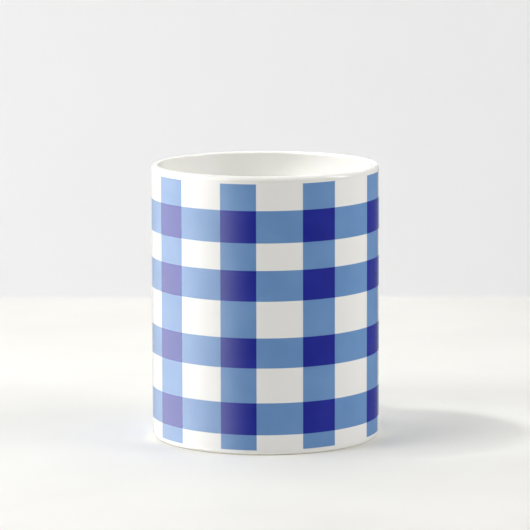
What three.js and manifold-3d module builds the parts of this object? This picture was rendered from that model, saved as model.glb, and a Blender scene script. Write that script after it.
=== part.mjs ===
// A straight-sided glazed mug with a printed checked wrap.
// Millimetres, +Z up. The mug stands on z = 0, the front of the print faces -Y and the handle points to +Y.
// The origin is the middle of the bottom of the whole mug's box, handle included.
import * as THREE from 'three';
import { mergeVertices } from 'three/addons/utils/BufferGeometryUtils.js';
import Module from 'manifold-3d';

const wasm = await Module();
wasm.setup();

// Driving dimensions
const mugHeight = 98;
const mugRadius = 40.65;
const lipRadius = 1.6; // the lip's round outer edge
const lipInnerRadius = 0.9; // the lip's tighter inner edge
const lipFade = 20; // the wall reaches its full thickness this far below the lip
const wallThickness = 4.4;
const floorTop = 7.6;
const floorCornerRadius = 10;
const baseCornerRadius = 1.3; // where the outer wall turns in to the foot
const glazeEdgeAngle = -70; // where the base corner's curve starts, above the glaze's rolled edge
const footHeight = 0.5; // the bare ring under the glaze
const footWidth = 3.6;
const undersideRecess = 1.8;
const printBottom = 1.8;
const printTop = 95.9;
const printHalfAngle = THREE.MathUtils.degToRad(150); // each way from the front
const printThickness = 0.4;
const handleReach = 36; // from the outer wall to the back of the handle
const handleWidth = 12.5;
const handleThickness = 8.5;
const handleUpperZ = 79;
const handleLowerZ = 19.5;
const handleBackZ = 50.5;
const armPull = 19; // how far each arm runs out before it turns
const backPull = 22; // how far the back runs up and down before it turns
const slipDepth = 3; // how far each joint's fillet stands out from the wall
const slipFlare = 0.38; // share by which the fillet is wider at the wall than the handle
const slipTurn = 70; // degrees of the fillet's quarter circle, so that its edge is not a feather
const gap = 0.3; // between pieces that touch on the real mug
const cutterMargin = 2; // how far a cutting solid stands past what it cuts
const weldDistance = 0.0001;

// Fineness
const roundSegments = 72;
const baseCornerSteps = 4;
const lipSteps = 5;
const lipFadeSteps = 4;
const floorCornerSteps = 7;
const handleSides = 11; // points in half of the section
const handleSteps = 18; // along each half of the handle
const slipSides = 28;
const slipSteps = 7;

// Worked out
const axisY = -handleReach / 2;
const lipZ = mugHeight - lipRadius;
const lipCentre = mugRadius - lipRadius;
const lipInnerZ = mugHeight - lipInnerRadius;
const boreAtLip = lipCentre - lipInnerRadius;
const innerRadius = mugRadius - wallThickness;
const footOuter = mugRadius - baseCornerRadius;
const footInner = footOuter - footWidth;

const whiteGlaze = { color: 0xf4f3ef, roughness: 0.12, metalness: 0 };
const bluePrint = { color: 0x6a94c9, roughness: 0.15, metalness: 0 };

// The points of a circular arc, in degrees, with both ends.
function arc(centreX, centreY, radius, fromDegrees, toDegrees, steps) {
  const points = [];
  for (let i = 0; i <= steps; i += 1) {
    const angle = THREE.MathUtils.degToRad(fromDegrees + ((toDegrees - fromDegrees) * i) / steps);
    points.push(new THREE.Vector2(centreX + radius * Math.cos(angle), centreY + radius * Math.sin(angle)));
  }
  return points;
}

// A closed geometry as a solid that can be joined and cut.
function solidOf(geometry) {
  const bare = geometry.clone();
  bare.deleteAttribute('normal');
  bare.deleteAttribute('uv');
  const merged = mergeVertices(bare, weldDistance);
  return new wasm.Manifold(new wasm.Mesh({
    numProp: 3,
    vertProperties: new Float32Array(merged.attributes.position.array),
    triVerts: new Uint32Array(merged.index.array),
  }));
}

function geometryOf(solid) {
  const mesh = solid.getMesh();
  const geometry = new THREE.BufferGeometry();
  geometry.setAttribute('position', new THREE.BufferAttribute(mesh.vertProperties, 3));
  geometry.setIndex(new THREE.BufferAttribute(mesh.triVerts, 1));
  geometry.computeVertexNormals();
  return geometry;
}

function namedMesh(name, geometry, finish) {
  const mesh = new THREE.Mesh(geometry, new THREE.MeshStandardMaterial(finish));
  mesh.name = name;
  return mesh;
}

// A profile of (radius, z) points turned about the mug's axis.
function turned(profile, segments) {
  const geometry = new THREE.LatheGeometry(profile, segments);
  geometry.rotateX(Math.PI / 2);
  return geometry;
}

// Part of a ring about the mug's axis, centred on the front.
function frontRing(inner, outer, halfAngle, bottom, top) {
  const outline = new THREE.Shape();
  const front = -Math.PI / 2;
  outline.absarc(0, 0, outer, front - halfAngle, front + halfAngle, false);
  outline.absarc(0, 0, inner, front + halfAngle, front - halfAngle, true);
  outline.closePath();
  const segments = Math.round((roundSegments * halfAngle) / Math.PI);
  const geometry = new THREE.ExtrudeGeometry(outline, {
    depth: top - bottom,
    curveSegments: segments,
    bevelEnabled: false,
  });
  geometry.translate(0, 0, bottom);
  return geometry;
}

// The lip's inner side, which runs out into the thicker wall along half a cosine wave.
function lipRunout() {
  const points = [];
  for (let i = 1; i <= lipFadeSteps; i += 1) {
    const share = i / lipFadeSteps;
    const thickening = (1 - Math.cos(Math.PI * share)) / 2;
    const radius = boreAtLip + (innerRadius - boreAtLip) * thickening;
    points.push(new THREE.Vector2(radius, lipInnerZ - lipFade * share));
  }
  return points;
}

// The cup: a round lip, a plain wall, a rounded inner corner, and a bare foot ring.
function cupBody() {
  const baseCornerZ = footHeight + baseCornerRadius;
  const floorCornerX = innerRadius - floorCornerRadius;
  const profile = [
    new THREE.Vector2(0, undersideRecess),
    new THREE.Vector2(footInner - undersideRecess, undersideRecess),
    new THREE.Vector2(footInner, 0),
    new THREE.Vector2(footOuter, 0),
    new THREE.Vector2(footOuter, footHeight),
    ...arc(footOuter, baseCornerZ, baseCornerRadius, glazeEdgeAngle, 0, baseCornerSteps),
    ...arc(lipCentre, lipZ, lipRadius, 0, 90, lipSteps),
    ...arc(lipCentre, lipInnerZ, lipInnerRadius, 90, 180, lipSteps).slice(1),
    ...lipRunout(),
    ...arc(floorCornerX, floorTop + floorCornerRadius, floorCornerRadius, 0, -90, floorCornerSteps),
    new THREE.Vector2(0, floorTop),
  ];
  const cup = solidOf(turned(profile, roundSegments));
  const recess = solidOf(frontRing(
    mugRadius - printThickness - gap,
    mugRadius + cutterMargin,
    printHalfAngle + gap / mugRadius,
    printBottom - gap,
    printTop + gap,
  ));
  return geometryOf(cup.subtract(recess));
}

// The print's coat, as a thin curved sheet whose face is level with the glaze round it.
function printedWrap() {
  return frontRing(mugRadius - printThickness, mugRadius, printHalfAngle, printBottom, printTop);
}

// The handle's middle line: level out of the wall, round its back and level in again.
function handlePath() {
  const start = mugRadius + slipDepth + gap;
  const back = mugRadius + handleReach - handleThickness / 2;
  const path = new THREE.CurvePath();
  path.add(new THREE.CubicBezierCurve3(
    new THREE.Vector3(0, start, handleUpperZ),
    new THREE.Vector3(0, start + armPull, handleUpperZ),
    new THREE.Vector3(0, back, handleBackZ + backPull),
    new THREE.Vector3(0, back, handleBackZ),
  ));
  path.add(new THREE.CubicBezierCurve3(
    new THREE.Vector3(0, back, handleBackZ),
    new THREE.Vector3(0, back, handleBackZ - backPull),
    new THREE.Vector3(0, start + armPull, handleLowerZ),
    new THREE.Vector3(0, start, handleLowerZ),
  ));
  return path;
}

function handle() {
  const section = new THREE.Shape();
  section.absellipse(0, 0, handleWidth / 2, handleThickness / 2, 0, 2 * Math.PI, false);
  return new THREE.ExtrudeGeometry(section, {
    steps: 2 * handleSteps,
    curveSegments: handleSides,
    extrudePath: handlePath(),
  });
}

// The slip that lutes one end of the handle to the wall: an oval fillet, cut to the wall's curve.
function slipJoint(z) {
  const fillet = [];
  for (let i = 0; i <= slipSteps; i += 1) {
    const angle = THREE.MathUtils.degToRad(slipTurn * (1 - i / slipSteps));
    const width = 1 + slipFlare * (1 - Math.cos(angle));
    fillet.push(new THREE.Vector2(width, slipDepth * (1 - Math.sin(angle))));
  }
  const profile = [
    new THREE.Vector2(0, -slipDepth),
    new THREE.Vector2(fillet[0].x, -slipDepth),
    ...fillet,
    new THREE.Vector2(0, slipDepth),
  ];
  const oval = new THREE.LatheGeometry(profile, slipSides);
  oval.scale(handleWidth / 2, 1, handleThickness / 2);
  oval.translate(0, mugRadius, z);
  const wallRadius = mugRadius + gap;
  const wallHeight = handleThickness * (1 + slipFlare) + cutterMargin;
  const wall = new THREE.CylinderGeometry(wallRadius, wallRadius, wallHeight, roundSegments);
  wall.rotateX(Math.PI / 2);
  wall.translate(0, 0, z);
  return geometryOf(solidOf(oval).subtract(solidOf(wall)));
}

const mug = new THREE.Group();
mug.position.y = axisY;
mug.add(namedMesh('cup_body', cupBody(), whiteGlaze));
mug.add(namedMesh('printed_wrap', printedWrap(), bluePrint));
mug.add(namedMesh('handle', handle(), whiteGlaze));
mug.add(namedMesh('handle_joint_upper', slipJoint(handleUpperZ), whiteGlaze));
mug.add(namedMesh('handle_joint_lower', slipJoint(handleLowerZ), whiteGlaze));

export default mug;
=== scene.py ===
import math

import bpy
import numpy as np
from mathutils import Matrix, Vector


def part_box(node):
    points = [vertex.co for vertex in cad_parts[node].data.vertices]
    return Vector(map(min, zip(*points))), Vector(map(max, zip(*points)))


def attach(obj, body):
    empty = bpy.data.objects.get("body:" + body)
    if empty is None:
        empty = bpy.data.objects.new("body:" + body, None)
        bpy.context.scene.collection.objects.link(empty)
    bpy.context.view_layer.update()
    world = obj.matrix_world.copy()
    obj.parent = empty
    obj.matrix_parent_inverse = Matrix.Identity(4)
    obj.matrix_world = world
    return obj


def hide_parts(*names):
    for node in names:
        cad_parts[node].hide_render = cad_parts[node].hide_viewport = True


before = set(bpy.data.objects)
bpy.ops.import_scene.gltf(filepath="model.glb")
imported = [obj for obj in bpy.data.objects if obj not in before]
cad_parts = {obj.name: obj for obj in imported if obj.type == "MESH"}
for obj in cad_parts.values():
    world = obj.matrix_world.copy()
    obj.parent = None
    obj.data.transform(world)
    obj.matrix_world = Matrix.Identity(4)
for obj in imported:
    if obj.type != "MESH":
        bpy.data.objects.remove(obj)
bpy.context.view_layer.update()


# --- The cup ---------------------------------------------------------------------------------------------------------
# A straight cylinder of white clay, cast in a mould, dipped in a white gloss glaze and fired. The lip is sponged
# round before glazing, and the foot ring is wiped bare so that it doesn't stick to the kiln shelf.

MM = 0.001
TURN_STEPS = 240  # faces round the cup, 1.5 degrees each

cup_low, cup_high = (np.array(corner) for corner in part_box("cup_body"))
axis_y = (cup_low[1] + cup_high[1]) / 2
wall_radius = (cup_high[0] - cup_low[0]) / 2
cup_height = cup_high[2]

PRINT_PROUD = 0.03 * MM  # how far the printed coat stands out of the glaze
LIP_RADIUS = 1.6 * MM
LIP_INNER = 0.9 * MM  # the lip turns in more tightly than out
LIP_FADE = 20 * MM  # the wall reaches its full thickness this far below the lip
WALL = 4.4 * MM
FLOOR_TOP = 7.6 * MM
FLOOR_CORNER = 10 * MM
FLOOR_DISH = 0.2 * MM  # the floor sinks a little towards its middle
BASE_CORNER = 1.3 * MM
FOOT_WIDTH = 3.6 * MM
FOOT_HEIGHT = 0.26 * MM
FOOT_EDGE = 0.12 * MM  # the sponged corners of the bare ring
GLAZE_ROLL = 0.12 * MM  # the glaze ends in a rolled edge this thick
ROLL_ANGLE = 278  # degrees on the base corner's circle where it starts, at the rolled edge
UNDERSIDE = 1.8 * MM
HOLLOW_CORNER = 1.2 * MM  # where the underside meets the foot ring

glaze_radius = wall_radius - PRINT_PROUD
lip_z = cup_height - LIP_RADIUS
lip_centre = glaze_radius - LIP_RADIUS
lip_inner_z = cup_height - LIP_INNER
fade_z = lip_inner_z - LIP_FADE
bore = wall_radius - WALL
floor_corner_z = FLOOR_TOP + FLOOR_CORNER
base_corner_z = FOOT_HEIGHT + BASE_CORNER
foot_outer = wall_radius - BASE_CORNER
foot_inner = foot_outer - FOOT_WIDTH
bare_outer = foot_outer - GLAZE_ROLL
hollow_radius = foot_inner - GLAZE_ROLL - HOLLOW_CORNER


def arc(centre_radius, centre_z, size, start, end, steps):
    """Points of a circular arc in the (radius, z) plane: the centre plus size times (cos, sin) of each angle."""
    angle = np.radians(np.linspace(start, end, steps))
    return np.stack([centre_radius + size * np.cos(angle), centre_z + size * np.sin(angle)], axis=1)


def straight(start, end, steps):
    """Evenly spaced points between two places, the ends left out."""
    share = np.linspace(0, 1, steps + 2)[1:-1, None]
    return np.array(start) + (np.array(end) - np.array(start)) * share


def ease(start, end, steps):
    """Points between two places, the ends left out: z falls evenly while the radius follows a half cosine."""
    points = straight(start, end, steps)
    share = np.linspace(0, 1, steps + 2)[1:-1]
    points[:, 0] = start[0] + (end[0] - start[0]) * (0.5 - 0.5 * np.cos(math.pi * share))
    return points


def grid_faces(rows, columns):
    """Faces as rows of four point numbers, for a grid stored row by row whose last column joins its first."""
    row = np.arange(rows - 1)[:, None] * columns
    column = np.arange(columns)[None, :]
    following = (column + 1) % columns
    corners = [row + column, row + following, row + columns + following, row + columns + column]
    return np.stack(corners, axis=-1).reshape(-1, 4)


def tube_with_ends(rings, first_end, last_end):
    """A closed skin over rings of points, shape (rings, points round, 3), whose ends close in fans on two points."""
    count, around, _ = rings.shape
    places = np.vstack([rings.reshape(-1, 3), first_end, last_end])
    k = np.arange(around)
    following = (k + 1) % around
    top = (count - 1) * around
    first = np.stack([np.full(around, count * around), following, k], axis=1)
    last = np.stack([np.full(around, count * around + 1), top + k, top + following], axis=1)
    return places, grid_faces(count, around).tolist() + first.tolist() + last.tolist()


def turned(profile):
    """A (radius, z) profile that starts and ends on the axis, turned about the cup: x = r sin a, y = -r cos a."""
    inner = profile[1:-1]
    angle = np.linspace(0, 2 * math.pi, TURN_STEPS, endpoint=False)
    rings = np.stack([np.outer(inner[:, 0], np.sin(angle)), axis_y - np.outer(inner[:, 0], np.cos(angle)),
                      np.outer(inner[:, 1], np.ones(TURN_STEPS))], axis=-1)
    return tube_with_ends(rings, [0, axis_y, profile[0, 1]], [0, axis_y, profile[-1, 1]])


def smooth_piece(name, points, faces, sharp_degrees=40):
    """An object at the origin, its places in metres, smooth except where faces meet at more than the sharp angle."""
    mesh = bpy.data.meshes.new(name)
    mesh.from_pydata(points.tolist(), [], faces)
    mesh.polygons.foreach_set("use_smooth", np.ones(len(mesh.polygons), dtype=bool))
    mesh.set_sharp_from_angle(angle=math.radians(sharp_degrees))
    piece = bpy.data.objects.new(name, mesh)
    bpy.context.scene.collection.objects.link(piece)
    return piece


glazed_underside = np.vstack([
    [[0, UNDERSIDE + FLOOR_DISH]],
    straight([0, UNDERSIDE + FLOOR_DISH], [hollow_radius, UNDERSIDE], steps=14),
    arc(hollow_radius, UNDERSIDE - HOLLOW_CORNER, HOLLOW_CORNER, start=90, end=0, steps=9),
])
bare_ring = np.vstack([
    [[foot_inner, FOOT_HEIGHT]],
    arc(foot_inner + FOOT_EDGE, FOOT_EDGE, FOOT_EDGE, start=180, end=270, steps=7),
    straight([foot_inner + FOOT_EDGE, 0], [bare_outer - FOOT_EDGE, 0], steps=5),
    arc(bare_outer - FOOT_EDGE, FOOT_EDGE, FOOT_EDGE, start=270, end=360, steps=7),
    [[bare_outer, FOOT_HEIGHT]],
])
glazed_wall = np.vstack([
    arc(glaze_radius - BASE_CORNER, base_corner_z, BASE_CORNER, start=ROLL_ANGLE, end=360, steps=14),
    straight([glaze_radius, base_corner_z], [glaze_radius, lip_z], steps=46),
    arc(lip_centre, lip_z, LIP_RADIUS, start=0, end=90, steps=17),
    arc(lip_centre, lip_inner_z, LIP_INNER, start=90, end=180, steps=15)[1:],
    ease([lip_centre - LIP_INNER, lip_inner_z], [bore, fade_z], steps=18),
    straight([bore, fade_z], [bore, floor_corner_z], steps=20),
    arc(bore - FLOOR_CORNER, floor_corner_z, FLOOR_CORNER, start=0, end=-90, steps=22),
    straight([bore - FLOOR_CORNER, FLOOR_TOP], [0, FLOOR_TOP - FLOOR_DISH], steps=12),
    [[0, FLOOR_TOP - FLOOR_DISH]],
])
glazed_cup = smooth_piece("glazed_cup", *turned(np.vstack([glazed_underside, bare_ring, glazed_wall])))


def linear(hex_colour):
    """An sRGB hex colour as linear RGBA: a channel c is c/12.92 when small, else ((c + 0.055)/1.055) to the 2.4."""
    channels = [int(hex_colour[i:i + 2], 16) / 255 for i in (1, 3, 5)]
    return [c / 12.92 if c <= 0.04045 else ((c + 0.055) / 1.055) ** 2.4 for c in channels] + [1]


def add(tree, kind, inputs, **settings):
    """Adds a shader node: its settings are named, and each input, by name or number, is a value or a socket."""
    node = tree.nodes.new("ShaderNode" + kind)
    for name, value in settings.items():
        setattr(node, name, value)
    for socket, value in inputs.items():
        if isinstance(value, bpy.types.NodeSocket):
            tree.links.new(value, node.inputs[socket])
        else:
            node.inputs[socket].default_value = value
    return node


def blank_material(name):
    """A material with no nodes but Object coordinates, as its tree and that socket."""
    material = bpy.data.materials.new(name)
    material.use_nodes = True
    material.node_tree.nodes.clear()
    return material, material.node_tree, add(material.node_tree, "TexCoord", {}).outputs["Object"]


def blended(tree, share, first, second):
    """A colour that goes from the first to the second as the share goes from 0 to 1."""
    return add(tree, "Mix", {0: share, 6: first, 7: second}, data_type="RGBA").outputs[2]


def between(tree, value, low, high, to_low=0.0, to_high=1.0):
    """A value taken from the range low..high to the range to_low..to_high and held inside it."""
    limits = {"Value": value, "From Min": low, "From Max": high, "To Min": to_low, "To Max": to_high}
    return add(tree, "MapRange", limits).outputs["Result"]


def clouds(tree, place, size, detail=2.0):
    """Soft noise whose clouds are about the given size in metres."""
    return add(tree, "TexNoise", {"Vector": place, "Scale": 1 / size, "Detail": detail}).outputs["Fac"]


def drift(tree, place, size, low=0.0, high=1.0):
    """A value that drifts from low in the thin clouds to high in the thick ones. Noise seldom leaves 0.35 to 0.65."""
    return between(tree, clouds(tree, place, size), 0.35, 0.65, low, high)


# White gloss glaze, fired to glass. The skin is level to the eye, but reflections swim a little, because it flowed in
# shallow waves about 11 mm across and set with a faint orange peel about 1.3 mm across.
GLAZE_WHITE = "#F0EFEC"
GLAZE_THICK_WHITE = "#EDECE6"  # where the glaze lies thicker it is a touch warmer
GLAZE_WAVE = 11 * MM
GLAZE_PEEL = 1.3 * MM
GLAZE_CLOUD = 24 * MM
WAVE_HEIGHT = 0.02 * MM
PEEL_HEIGHT = 0.001 * MM
GLAZE_IOR = 1.5


def glaze_relief(tree, place):
    """The glaze's waves and its orange peel, as a normal."""
    wave = clouds(tree, place, GLAZE_WAVE, detail=0.0)
    peel = clouds(tree, place, GLAZE_PEEL, detail=1.0)
    waves = add(tree, "Bump", {"Distance": WAVE_HEIGHT, "Height": wave}).outputs[0]
    return add(tree, "Bump", {"Distance": PEEL_HEIGHT, "Height": peel, "Normal": waves}).outputs[0]


white_glaze, tree, place = blank_material("white_gloss_glaze")
thickness = drift(tree, place, GLAZE_CLOUD)
glaze = add(tree, "BsdfPrincipled", {
    "Base Color": blended(tree, thickness, linear(GLAZE_WHITE), linear(GLAZE_THICK_WHITE)),
    "Roughness": drift(tree, place, GLAZE_CLOUD, low=0.09, high=0.14),
    "IOR": GLAZE_IOR,
    "Normal": glaze_relief(tree, place),
})
add(tree, "OutputMaterial", {"Surface": glaze.outputs[0]})

# Bare fired clay on the foot ring, wiped with a wet sponge. It is dry and tan, with a sandy grain about 0.35 mm
# across and greyer patches where the shelf touched it.
BARE_CLAY = "#D9CFBF"
SHELF_GREY = "#C6BCAC"
CLAY_GRAIN = 0.35 * MM
CLAY_PATCH = 7 * MM
GRAIN_HEIGHT = 0.05 * MM

bare_clay, tree, place = blank_material("bare_fired_clay")
grain = clouds(tree, place, CLAY_GRAIN)
patches = drift(tree, place, CLAY_PATCH)
clay_relief = add(tree, "Bump", {"Distance": GRAIN_HEIGHT, "Height": grain})
clay = add(tree, "BsdfPrincipled", {
    "Base Color": blended(tree, patches, linear(BARE_CLAY), linear(SHELF_GREY)),
    "Roughness": between(tree, grain, 0.3, 0.7, to_low=0.75, to_high=0.92),
    "Normal": clay_relief.outputs[0],
})
add(tree, "OutputMaterial", {"Surface": clay.outputs[0]})

glazed_cup.data.materials.append(white_glaze)
glazed_cup.data.materials.append(bare_clay)
face_material = np.zeros(len(glazed_cup.data.polygons), dtype=np.int32)
bare_from = (len(glazed_underside) - 1) * TURN_STEPS
face_material[bare_from:bare_from + (len(bare_ring) - 1) * TURN_STEPS] = 1
glazed_cup.data.polygons.foreach_set("material_index", face_material)
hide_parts("cup_body")
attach(glazed_cup, "root")


# --- The handle ------------------------------------------------------------------------------------------------------
# A D-shaped handle of the same white clay, cast on its own with a soft oval section, a little fuller where it meets
# the cup, and glazed with the cup.

HANDLE_WIDTH = 12.5 * MM
HANDLE_THICKNESS = 8.5 * MM
ARM_PULL = 19 * MM  # how far each arm runs out before it turns
BACK_PULL = 22 * MM  # how far the back runs up and down before it turns
BACK_Z = 50.5 * MM  # the back's furthest point, just above the middle of the cup
SLIMMING = 0.05  # share by which the middle of the handle is slimmer than its ends
SECTION_POWER = 2.25  # 2 is an ellipse, more is squarer
HANDLE_SIDES = 72
ARM_STEPS = 60

handle_low, handle_high = (np.array(corner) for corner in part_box("handle"))
upper_z, lower_z = (sum(corner[2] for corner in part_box("handle_joint_" + end)) / 2 for end in ("upper", "lower"))
handle_start = handle_low[1]
back_y = handle_high[1] - HANDLE_THICKNESS / 2


def bezier(corners, steps):
    """A cubic Bezier curve in the (y, z) plane and its direction, from its four corner points."""
    t = np.linspace(0, 1, steps)[:, None]
    a, b, c, d = (np.array(corner) for corner in corners)
    point = (1 - t) ** 3 * a + 3 * (1 - t) ** 2 * t * b + 3 * (1 - t) * t ** 2 * c + t ** 3 * d
    slope = 3 * (1 - t) ** 2 * (b - a) + 6 * (1 - t) * t * (c - b) + 3 * t ** 2 * (d - c)
    return point, slope / np.linalg.norm(slope, axis=1, keepdims=True)


def oval(half_width, half_thickness, sides):
    """A superellipse: each coordinate is its half size times the sine or cosine to the power 2/SECTION_POWER."""
    angle = np.linspace(0, 2 * math.pi, sides, endpoint=False)
    across, up = np.cos(angle), np.sin(angle)
    power = 2 / SECTION_POWER
    return (np.outer(half_width, np.sign(across) * np.abs(across) ** power),
            np.outer(half_thickness, np.sign(up) * np.abs(up) ** power))


upper_arm, upper_way = bezier([(handle_start, upper_z), (handle_start + ARM_PULL, upper_z),
                               (back_y, BACK_Z + BACK_PULL), (back_y, BACK_Z)], ARM_STEPS)
lower_arm, lower_way = bezier([(back_y, BACK_Z), (back_y, BACK_Z - BACK_PULL),
                               (handle_start + ARM_PULL, lower_z), (handle_start, lower_z)], ARM_STEPS)
middle_line = np.vstack([upper_arm, lower_arm[1:]])
direction = np.vstack([upper_way, lower_way[1:]])
slim = 1 - SLIMMING * np.sin(np.linspace(0, math.pi, len(middle_line)))
across, outward = oval(HANDLE_WIDTH / 2 * slim, HANDLE_THICKNESS / 2 * slim, HANDLE_SIDES)
handle_rings = np.stack([across,
                         middle_line[:, 0:1] + outward * direction[:, 1:2],
                         middle_line[:, 1:2] - outward * direction[:, 0:1]], axis=-1)
handle_ends = [[0, *middle_line[0]], [0, *middle_line[-1]]]
cast_handle = smooth_piece("cast_handle", *tube_with_ends(handle_rings, *handle_ends))
cast_handle.data.materials.append(white_glaze)
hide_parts("handle")
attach(cast_handle, "root")


# --- The two slip joints ---------------------------------------------------------------------------------------------
# Liquid clay that lutes each end of the handle to the wall, wiped round with a wet finger into a hollow fillet.
# Under the glaze it runs into both without a line.

FILLET_SPREAD = 2.6 * MM  # how far the fillet reaches past the handle along the wall
FILLET_STEPS = 26
IN_WALL = 0.02 * MM  # the fillet's edge lies this far under the glaze
ROOT_DEPTH = 1.0 * MM  # the joint's hidden root inside the wall
ALONG_HANDLE = 0.75  # share of the way to the wall that the hollow is drawn along the handle
ALONG_WALL = 0.7  # share of the spread that it is drawn along the wall


def slip_fillet(name, node, height):
    """A hollow fillet: at each angle round the handle a cubic curve leaves the wall along it and joins the handle
    along its length, so both meetings are tangent."""
    near_across, near_up = (edge[0] for edge in oval([HANDLE_WIDTH / 2], [HANDLE_THICKNESS / 2], HANDLE_SIDES))
    far_across, far_up = (edge[0] for edge in oval([HANDLE_WIDTH / 2 + FILLET_SPREAD],
                                                   [HANDLE_THICKNESS / 2 + FILLET_SPREAD], HANDLE_SIDES))
    seat = glaze_radius - IN_WALL

    def on_wall(x, z):
        return np.stack([x, axis_y + np.sqrt(seat ** 2 - x ** 2), height - z], axis=-1)

    ring_at_handle = np.stack([near_across, np.full(HANDLE_SIDES, handle_start), height - near_up], axis=-1)
    ring_at_wall = on_wall(far_across, far_up)
    toward_wall = ring_at_handle.copy()
    toward_wall[:, 1] -= ALONG_HANDLE * (handle_start - on_wall(near_across, near_up)[:, 1])
    along_wall = on_wall(far_across + (near_across - far_across) * ALONG_WALL,
                         far_up + (near_up - far_up) * ALONG_WALL)
    t = np.linspace(0, 1, FILLET_STEPS)[:, None, None]
    skin = ((1 - t) ** 3 * ring_at_wall + 3 * (1 - t) ** 2 * t * along_wall
            + 3 * (1 - t) * t ** 2 * toward_wall + t ** 3 * ring_at_handle)
    root = ring_at_wall - [0, ROOT_DEPTH, 0]
    rings = np.concatenate([root[None], skin])
    root_end = [0, axis_y + seat - 2 * ROOT_DEPTH, height]
    joint = smooth_piece(name, *tube_with_ends(rings, root_end, [0, handle_start, height]))
    joint.data.materials.append(white_glaze)
    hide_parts(node)
    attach(joint, "root")


slip_fillet("upper_slip_joint", "handle_joint_upper", upper_z)
slip_fillet("lower_slip_joint", "handle_joint_lower", lower_z)


# --- The printed coat ------------------------------------------------------------------------------------------------
# A clear coat with dye fused into it in a heat press, wrapped round the front and sides and stopping short of the
# handle.

COAT = 0.05 * MM
COAT_ROWS = 24
COAT_TURN_STEPS = 200  # over the whole wrap, level with the cup's own faces
PRINT_HALF_TURN = 150  # degrees each way from the front
EDGE_BLUR = 0.14 * MM  # dye spreads this far across a check's edge
# Degrees from the front, from left to right as seen there. The spacing is a little uneven.
STRIPES = ((-146.5, -128.7), (-105.3, -87.4), (-64.4, -46.0), (-22.7, -4.5), (18.7, 36.6), (61.6, 79.6),
           (103.5, 121.4), (145, 163))
# Heights on the sheet, which at the front is a height above the table.
BANDS = ((7.3 * MM, 18.6 * MM), (30.9 * MM, 41.5 * MM), (54.4 * MM, 65.2 * MM), (74.8 * MM, 86.1 * MM))
DYED = ((1.93 * MM, 95.4 * MM),)  # the sheet's own bottom and top
SHEET_SAG = 0.45 * MM  # the sheet went on this much lower at the front than at the sides
SHEET_LEAN = 0.15 * MM  # and this much higher at the right side than at the front

print_low, print_high = (np.array(corner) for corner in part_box("printed_wrap"))


def wrapped_coat(inner, outer, bottom, top):
    """A thin sheet bent round the cup: its closed edge loop, up the inside and down the outside, is carried round
    the axis from one side of the handle to the other, and both ends close with a strip of faces."""
    up = np.linspace(bottom, top, COAT_ROWS)
    loop = np.vstack([np.stack([np.full(COAT_ROWS, inner), up], axis=1),
                      np.stack([np.full(COAT_ROWS, outer), up[::-1]], axis=1)])
    angle = np.radians(np.linspace(-PRINT_HALF_TURN, PRINT_HALF_TURN, COAT_TURN_STEPS + 1))
    rings = np.stack([np.outer(np.sin(angle), loop[:, 0]), axis_y - np.outer(np.cos(angle), loop[:, 0]),
                      np.outer(np.ones(len(angle)), loop[:, 1])], axis=-1)
    around = len(loop)
    k = np.arange(COAT_ROWS - 1)
    strip = np.stack([k, k + 1, around - 2 - k, around - 1 - k], axis=1)
    faces = np.vstack([grid_faces(len(angle), around), strip[:, ::-1], strip + COAT_TURN_STEPS * around])
    return rings.reshape(-1, 3), faces.tolist()


printed_coat = smooth_piece("printed_coat", *wrapped_coat(wall_radius - COAT / 2, wall_radius,
                                                          print_low[2], print_high[2]))

# Sublimation print: dye in a gloss coat. The colours are flat and clear with a crisp edge, and the dye is a little
# uneven in clouds about 14 mm across; the coat follows the glaze's waves under it.
LIGHT_BLUE = "#668FC2"
PALE_DYE = "#6D95C6"
NAVY = "#0F1C90"
PALE_NAVY = "#172396"
DYE_CLOUD = 14 * MM
COAT_IOR = 1.42


def bearing(tree, place):
    """Degrees round the cup's axis from the front, positive towards the right."""
    split = add(tree, "SeparateXYZ", {"Vector": place})
    ahead = add(tree, "Math", {0: axis_y, 1: split.outputs["Y"]}, operation="SUBTRACT").outputs[0]
    radians = add(tree, "Math", {0: split.outputs["X"], 1: ahead}, operation="ARCTAN2").outputs[0]
    return add(tree, "Math", {0: radians}, operation="DEGREES").outputs[0]


def checked(tree, value, spans, blur):
    """1 inside the spans and 0 outside: the distance from each span's middle, set against half its width."""
    inside = 0.0
    for start, end in spans:
        offset = add(tree, "Math", {0: value, 1: (start + end) / 2}, operation="SUBTRACT")
        distance = add(tree, "Math", {0: offset.outputs[0]}, operation="ABSOLUTE").outputs[0]
        half = (end - start) / 2
        here = between(tree, distance, half + blur / 2, half - blur / 2)
        inside = add(tree, "Math", {0: inside, 1: here}, operation="MAXIMUM").outputs[0]
    return inside


dyed_coat, tree, place = blank_material("dye_in_gloss_coat")
stripe = checked(tree, bearing(tree, place), STRIPES, math.degrees(EDGE_BLUR / wall_radius))
coordinate = add(tree, "SeparateXYZ", {"Vector": place}).outputs
side = add(tree, "Math", {0: coordinate["X"], 1: wall_radius}, operation="DIVIDE").outputs[0]
rise = add(tree, "Math", {0: side, 1: SHEET_SAG, 2: SHEET_LEAN}, operation="MULTIPLY_ADD").outputs[0]
lift = add(tree, "Math", {0: side, 1: rise}, operation="MULTIPLY").outputs[0]
sheet_height = add(tree, "Math", {0: coordinate["Z"], 1: lift}, operation="SUBTRACT").outputs[0]
on_sheet = checked(tree, sheet_height, DYED, EDGE_BLUR)
band = checked(tree, sheet_height, BANDS, EDGE_BLUR)
stripe = add(tree, "Math", {0: stripe, 1: on_sheet}, operation="MULTIPLY").outputs[0]
crossing = add(tree, "Math", {0: stripe, 1: band}, operation="MULTIPLY").outputs[0]
either = add(tree, "Math", {0: stripe, 1: band}, operation="MAXIMUM").outputs[0]
dye = drift(tree, place, DYE_CLOUD)
light_dye = blended(tree, dye, linear(LIGHT_BLUE), linear(PALE_DYE))
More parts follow.
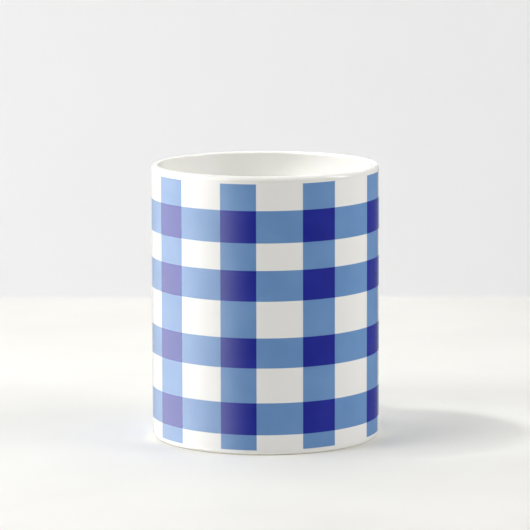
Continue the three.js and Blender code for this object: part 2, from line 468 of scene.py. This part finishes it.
dark_dye = blended(tree, dye, linear(NAVY), linear(PALE_NAVY))
ground = blended(tree, either, linear(GLAZE_WHITE), light_dye)
coat = add(tree, "BsdfPrincipled", {
    "Base Color": blended(tree, crossing, ground, dark_dye),
    "Roughness": drift(tree, place, GLAZE_CLOUD, low=0.10, high=0.15),
    "IOR": COAT_IOR,
    "Normal": glaze_relief(tree, place),
})
add(tree, "OutputMaterial", {"Surface": coat.outputs[0]})
printed_coat.data.materials.append(dyed_coat)
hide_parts("printed_wrap")
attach(printed_coat, "root")


# --- The table and the room ------------------------------------------------------------------------------------------
# A pale matt table with its back edge about a foot behind the mug, and a pale wall. The join is a small cove, so that
# the edge shows as a line. Both are clear from behind and below and cast no shadow, so that the mug can be looked at
# from there.

TABLE_BACK = 0.298
COVE = 0.0025
TABLE_FRONT = -2.4
WALL_TOP = 2.4
HALF_SPREAD = 2.4
TABLE_WHITE = "#EEEDE8"
TABLE_CLOUD_WHITE = "#E9E8E3"
WALL_WHITE = "#EEEEF0"
TABLE_CLOUD = 0.09

cove_angle = np.radians(np.linspace(-90, 0, 24))
backdrop_line = np.vstack([
    [[TABLE_FRONT, 0]],
    np.stack([TABLE_BACK - COVE + COVE * np.cos(cove_angle), COVE + COVE * np.sin(cove_angle)], axis=1),
    [[TABLE_BACK, WALL_TOP]],
])
left_edge, right_edge = (np.insert(backdrop_line, 0, side, axis=1) for side in (-HALF_SPREAD, HALF_SPREAD))
backdrop_points = np.stack([left_edge, right_edge], axis=1).reshape(-1, 3)
strip_start = np.arange(len(backdrop_line) - 1) * 2
backdrop_faces = np.stack([strip_start, strip_start + 1, strip_start + 3, strip_start + 2], axis=1)
backdrop = smooth_piece("backdrop", backdrop_points, backdrop_faces.tolist())
matt_white, tree, place = blank_material("matt_white_paper")
mottle = drift(tree, place, TABLE_CLOUD)
height = add(tree, "SeparateXYZ", {"Vector": place}).outputs["Z"]
table_colour = blended(tree, mottle, linear(TABLE_WHITE), linear(TABLE_CLOUD_WHITE))
paper = add(tree, "BsdfPrincipled", {
    "Base Color": blended(tree, between(tree, height, 0.0, COVE), table_colour, linear(WALL_WHITE)),
    "Roughness": 0.7,
    "Specular IOR Level": 0.2,
})
behind = add(tree, "NewGeometry", {}).outputs["Backfacing"]
clear = add(tree, "BsdfTransparent", {}).outputs[0]
one_sided = add(tree, "MixShader", {0: behind, 1: paper.outputs[0], 2: clear})
add(tree, "OutputMaterial", {"Surface": one_sided.outputs[0]})
backdrop.data.materials.append(matt_white)
backdrop.visible_glossy = False
backdrop.visible_shadow = False


# --- The light -------------------------------------------------------------------------------------------------------
# Soft boxes round the mug, most of them to the left and high, one large one to the right, two that wash the wall,
# three small ones with narrow beams that look down into the cup, and one under the foot for the underside.

def soft_light(name, place, target, size, watts, beam=180):
    """A rectangular soft box that faces its target and isn't mirrored in the gloss, with a beam in degrees."""
    light = bpy.data.lights.new(name, "AREA")
    light.shape = "RECTANGLE"
    light.size, light.size_y = size
    light.energy = watts
    light.spread = math.radians(beam)
    box = bpy.data.objects.new(name, light)
    facing = (Vector(target) - Vector(place)).to_track_quat("-Z", "Y")
    box.matrix_world = Matrix.Translation(place) @ facing.to_matrix().to_4x4()
    box.visible_glossy = False
    bpy.context.scene.collection.objects.link(box)


mug_middle = (0, 0, 0.05)
soft_light("left_front", (-1.2, -0.9, 0.6), mug_middle, size=(0.9, 0.7), watts=4.2)
soft_light("left_high", (-0.8, -0.1, 1.0), mug_middle, size=(0.8, 0.8), watts=3.6)
soft_light("left", (-1.3, -0.15, 0.6), mug_middle, size=(1.0, 0.8), watts=0.8)
soft_light("right", (1.3, -0.3, 0.6), mug_middle, size=(0.9, 0.8), watts=9.6)
soft_light("over_back", (-0.1, 0.15, 1.1), (0, 0, 0), size=(0.5, 0.3), watts=0.6)
soft_light("over_table", (0.5, -0.7, 1.0), (0.3, -0.4, 0), size=(1.0, 0.5), watts=0.4)
soft_light("wall_left", (-0.6, -0.3, 0.9), (-0.6, TABLE_BACK, 0.35), size=(0.7, 0.5), watts=4.7)
soft_light("wall_right", (0.6, -0.3, 0.9), (0.6, TABLE_BACK, 0.35), size=(0.7, 0.5), watts=1.5)
soft_light("into_cup_low", (-0.32, -0.03, 0.42), (0.02, -0.01, 0.085), size=(0.05, 0.05), watts=0.0037, beam=12)
soft_light("into_cup_high", (-0.2, -0.03, 0.5), (0.02, -0.01, 0.08), size=(0.05, 0.05), watts=0.0086, beam=12)
soft_light("into_cup_above", (0, axis_y, 0.6), (0, axis_y, 0.05), size=(0.06, 0.06), watts=0.0024, beam=8)
soft_light("under_foot", (0, axis_y, -0.5), (0, axis_y, 0), size=(0.05, 0.05), watts=0.008, beam=14)

# What the gloss mirrors is a light tent: a drum of white cloth round the mug, seen only in reflections. Lamps behind
# the cloth throw soft patches of light on it: three overlap at the left, a weak one is at the back and a weaker one at
# the right, and it is nearly dark behind the camera.
TENT_RADIUS = 0.8
TENT_HALF_HEIGHT = 0.9
TENT_SIDES = 96
CLOTH_GLOW = 0.2
# Each lamp's bearing in degrees from the front, positive to the right, its patch's spread in degrees, its strength.
LAMPS = ((-45, 14, 1.8), (-74, 21, 5.0), (-104, 27, 3.9), (180, 12, 0.7), (70, 28, 0.23))


def only_mirrored(thing):
    """Leaves a thing of the stage to be seen in reflections alone."""
    for ray in ("camera", "diffuse", "transmission", "volume_scatter", "shadow"):
        setattr(thing, "visible_" + ray, False)


tent_angle = np.linspace(0, 2 * math.pi, TENT_SIDES, endpoint=False)
tent_edge = np.stack([TENT_RADIUS * np.sin(tent_angle), axis_y - TENT_RADIUS * np.cos(tent_angle)], axis=1)
tent_points = np.vstack([np.insert(tent_edge, 2, z, axis=1) for z in (-TENT_HALF_HEIGHT, TENT_HALF_HEIGHT)])
tent = smooth_piece("light_tent", tent_points, grid_faces(2, TENT_SIDES)[:, ::-1].tolist())
tent_cloth, tree, place = blank_material("lit_tent_cloth")
from_front = bearing(tree, place)
glow = CLOTH_GLOW
for lamp_bearing, spread, strength in LAMPS:
    # The patch is strength * exp(-(offset / spread) ** 2 / 2), and the offset is wrapped to half a turn each way.
    offset = add(tree, "Math", {0: from_front, 1: lamp_bearing}, operation="SUBTRACT").outputs[0]
    wrapped = add(tree, "Math", {0: offset, 1: 180, 2: -180}, operation="WRAP").outputs[0]
    spreads = add(tree, "Math", {0: wrapped, 1: spread}, operation="DIVIDE").outputs[0]
    square = add(tree, "Math", {0: spreads, 1: spreads}, operation="MULTIPLY").outputs[0]
    half_less = add(tree, "Math", {0: square, 1: -0.5}, operation="MULTIPLY").outputs[0]
    patch = add(tree, "Math", {0: half_less}, operation="EXPONENT").outputs[0]
    glow = add(tree, "Math", {0: patch, 1: strength, 2: glow}, operation="MULTIPLY_ADD").outputs[0]
tent_light = add(tree, "Emission", {"Strength": glow})
add(tree, "OutputMaterial", {"Surface": tent_light.outputs[0]})
tent.data.materials.append(tent_cloth)
only_mirrored(tent)

# A tall window at the right, also seen only in reflections: it stands above the rim, so that it shows in the lip and
# high on the inner wall.
WINDOW_BEARING = 83  # degrees from the front, round by the right
WINDOW_AWAY = 0.75
WINDOW_WIDTH = 0.13
WINDOW_BOTTOM = 0.15
WINDOW_TOP = 0.8
WINDOW_GLOW = 14.0

window_angle = math.radians(WINDOW_BEARING)
toward = np.array([math.sin(window_angle), -math.cos(window_angle)])
sideways = np.array([toward[1], -toward[0]]) * WINDOW_WIDTH / 2
window_middle = toward * WINDOW_AWAY + [0, axis_y]
window_corners = [[*(window_middle + sideways * way), z]
                  for way, z in ((-1, WINDOW_BOTTOM), (1, WINDOW_BOTTOM), (1, WINDOW_TOP), (-1, WINDOW_TOP))]
window = smooth_piece("window", np.array(window_corners), [[0, 1, 2, 3]])
window_sky, tree, place = blank_material("window_sky")
sky = add(tree, "Emission", {"Strength": WINDOW_GLOW})
add(tree, "OutputMaterial", {"Surface": sky.outputs[0]})
window.data.materials.append(window_sky)
only_mirrored(window)

# The room past the table is pale to look at, but gives little light.
ROOM_SEEN = 0.85
ROOM_LIGHT = 0.01

world = bpy.data.worlds.new("pale_room")
world.use_nodes = True
room = world.node_tree
seen = add(room, "LightPath", {}).outputs["Is Camera Ray"]
strength = between(room, seen, 0.0, 1.0, ROOM_LIGHT, ROOM_SEEN)
room.links.new(strength, room.nodes["Background"].inputs["Strength"])
room.nodes["Background"].inputs["Color"].default_value = (1, 1, 1, 1)
bpy.context.scene.world = world
bpy.context.scene.view_settings.view_transform = "Standard"


# --- The camera ------------------------------------------------------------------------------------------------------
# A long lens about 1.3 m in front of the cup and 25 cm above the table, looking a little down at it.

CAMERA_AWAY = 1.313
CAMERA_HEIGHT = 0.2508
CAMERA_ASIDE = -0.00014
DOWNWARD = 8.206  # degrees
ROLL = -0.14  # degrees
LENS = 252.1  # millimetres, as is the sensor's width
SENSOR = 36

camera = bpy.data.cameras.new("camera")
camera.lens = LENS
camera.sensor_width = SENSOR
eye = bpy.data.objects.new("camera", camera)
tilt = Matrix.Rotation(math.radians(90 - DOWNWARD), 4, "X") @ Matrix.Rotation(math.radians(ROLL), 4, "Z")
eye.matrix_world = Matrix.Translation((CAMERA_ASIDE, axis_y - CAMERA_AWAY, CAMERA_HEIGHT)) @ tilt
bpy.context.scene.collection.objects.link(eye)
bpy.context.scene.camera = eye
